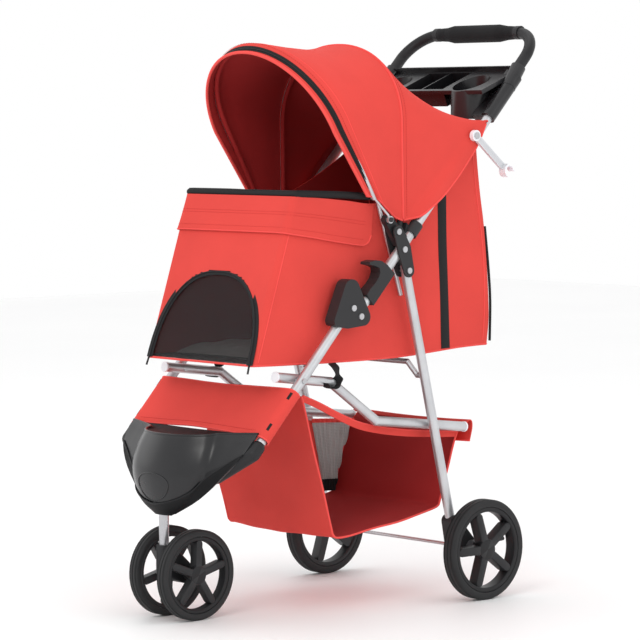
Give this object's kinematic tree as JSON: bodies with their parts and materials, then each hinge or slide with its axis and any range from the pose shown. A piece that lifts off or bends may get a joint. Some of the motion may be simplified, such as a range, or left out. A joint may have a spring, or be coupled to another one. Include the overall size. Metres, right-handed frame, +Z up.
{
  "type": "folding pet stroller",
  "caption": "Folding pet stroller with a fabric cabin and hood on a tubular frame, a storage basket, a cup tray under the handlebar, a swivelling front wheel pair and braked rear wheels.",
  "frame": {"origin": "on the floor, midway along the length and on the plane of symmetry", "axes": "+Z up; -Y is the way the stroller travels (the front swivel wheels); +X is its left side"},
  "size_m": [0.415, 0.7649, 0.9479],
  "materials": {
    "frame_tube": "silver painted steel tube",
    "bow_tube": "silver painted steel rod",
    "plated_steel": "plated",
    "black_plastic": "moulded, fine texture",
    "gloss_plastic": "moulded, satin gloss",
    "wheel_plastic": "moulded",
    "pedal_plastic": "moulded",
    "pale_plastic": "moulded",
    "tyre": "foam tyre",
    "grip_rubber": "soft foam grip",
    "red_fabric": "woven polyester",
    "cushion_fabric": "padded fleece",
    "floor_board": "stiff board",
    "grey_mesh": "open mesh",
    "black_webbing": "woven webbing"
  },
  "bodies": {
    "front_frame": {"front_leg_left": "frame_tube", "front_leg_right": "frame_tube", "fold_housing_left": "black_plastic", "fold_housing_right": "black_plastic", "frame_rivets": "plated_steel", "front_yoke": "black_plastic", "front_cover": "gloss_plastic", "swivel_bush": "pale_plastic", "cabin_front": "red_fabric", "cabin_side_left": "red_fabric", "cabin_side_right": "red_fabric", "cabin_rear": "red_fabric", "cabin_floor": "floor_board", "floor_cushion": "cushion_fabric", "front_rail": "frame_tube", "door_mesh": "grey_mesh", "basket_front": "red_fabric", "basket_body": "red_fabric", "mesh_pouch": "grey_mesh", "rail_straps": "black_webbing"},
    "handle": {"handle_tube_left": "frame_tube", "handle_tube_right": "frame_tube", "canopy_brackets": "black_plastic", "canopy_clips": "black_plastic", "canopy_bow_rear": "bow_tube", "canopy_rear": "red_fabric", "tray": "gloss_plastic", "handlebar": "black_plastic", "grip": "grip_rubber", "latch_pin": "plated_steel"},
    "canopy_bow": {"canopy_bow_front": "bow_tube", "canopy_front": "red_fabric"},
    "fold_lock_l": {"fold_lock_left": "black_plastic"},
    "fold_lock_r": {"fold_lock_right": "black_plastic"},
    "storage_latch": {"storage_latch": "pale_plastic"},
    "rear_legs": {"rear_leg_left": "frame_tube", "rear_leg_right": "frame_tube", "connector_left": "black_plastic", "connector_right": "black_plastic", "connector_rivets": "plated_steel", "rear_cross_bar": "frame_tube", "rear_axle": "plated_steel", "brake_housing_left": "black_plastic", "brake_housing_right": "black_plastic"},
    "brake_pedal_l": {"brake_pedal_left": "pedal_plastic"},
    "brake_pedal_r": {"brake_pedal_right": "pedal_plastic"},
    "basket_rails": {"rail_left": "frame_tube", "rail_right": "frame_tube", "rail_caps": "pale_plastic"},
    "rear_wheel_left": {"rear_tyre_left": "tyre", "rear_rim_left": "wheel_plastic"},
    "rear_wheel_right": {"rear_tyre_right": "tyre", "rear_rim_right": "wheel_plastic"},
    "caster": {"caster_post": "plated_steel", "caster_fork": "black_plastic", "front_axle": "plated_steel"},
    "front_wheel_left": {"front_tyre_left": "tyre", "front_rim_left": "wheel_plastic"},
    "front_wheel_right": {"front_tyre_right": "tyre", "front_rim_right": "wheel_plastic"}
  },
  "joints": [
    {"name": "handle_fold", "type": "hinge", "parent": "front_frame", "child": "handle", "pos_m": [0, -0.057, 0.476], "axis": [-1, 0, 0], "range_deg": [0, 120], "deforming": ["canopy_rear", "cabin_rear", "basket_body", "cabin_side_left", "cabin_side_right", "mesh_pouch", "rail_straps"]},
    {"name": "rear_leg_fold", "type": "hinge", "parent": "handle", "child": "rear_legs", "pos_m": [0, 0.03802, 0.57956], "axis": [-1, 0, 0], "range_deg": [-77, 0]},
    {"name": "rail_fold", "type": "hinge", "parent": "front_frame", "child": "basket_rails", "pos_m": [0, -0.175, 0.38], "axis": [-1, 0, 0], "range_deg": [0, 70], "deforming": ["basket_body", "cabin_side_left", "cabin_side_right", "mesh_pouch", "rail_straps"]},
    {"name": "canopy_fold", "type": "hinge", "parent": "handle", "child": "canopy_bow", "pos_m": [0, 0.009, 0.628], "axis": [-1, 0, 0], "range_deg": [0, 30], "deforming": ["canopy_front"]},
    {"name": "fold_lock_left_slide", "type": "slide", "parent": "handle", "child": "fold_lock_l", "axis": [0, 0.6867, 0.727], "range_m": [0, 0.006], "stiffness_N_per_m": 400, "springref_m": -0.004},
    {"name": "fold_lock_right_slide", "type": "slide", "parent": "handle", "child": "fold_lock_r", "axis": [0, 0.6867, 0.727], "range_m": [0, 0.006], "stiffness_N_per_m": 400, "springref_m": -0.004},
    {"name": "storage_latch_swing", "type": "hinge", "parent": "handle", "child": "storage_latch", "pos_m": [0.1725, 0.191, 0.761], "axis": [1, 0, 0], "range_deg": [0, 100]},
    {"name": "brake_pedal_left_press", "type": "hinge", "parent": "rear_legs", "child": "brake_pedal_l", "pos_m": [0.174, 0.187, 0.0825], "axis": [-1, 0, 0], "range_deg": [0, 25]},
    {"name": "brake_pedal_right_press", "type": "hinge", "parent": "rear_legs", "child": "brake_pedal_r", "pos_m": [-0.174, 0.187, 0.0825], "axis": [-1, 0, 0], "range_deg": [0, 25]},
    {"name": "rear_wheel_left_spin", "type": "hinge", "parent": "rear_legs", "child": "rear_wheel_left", "pos_m": [0.1955, 0.187, 0.0825], "axis": [1, 0, 0], "continuous": true},
    {"name": "rear_wheel_right_spin", "type": "hinge", "parent": "rear_legs", "child": "rear_wheel_right", "pos_m": [-0.1955, 0.187, 0.0825], "axis": [1, 0, 0], "continuous": true},
    {"name": "caster_swivel", "type": "hinge", "parent": "front_frame", "child": "caster", "pos_m": [0, -0.327, 0.16], "axis": [0, 0, 1], "continuous": true},
    {"name": "front_wheel_left_spin", "type": "hinge", "parent": "caster", "child": "front_wheel_left", "pos_m": [0.035, -0.292, 0.072], "axis": [1, 0, 0], "continuous": true},
    {"name": "front_wheel_right_spin", "type": "hinge", "parent": "caster", "child": "front_wheel_right", "pos_m": [-0.035, -0.292, 0.072], "axis": [1, 0, 0], "continuous": true}
  ],
  "couplings": [
    {"joint": "rear_leg_fold", "follows": "handle_fold", "ratio": -0.641},
    {"joint": "rail_fold", "follows": "handle_fold", "ratio": 0.579}
  ]
}
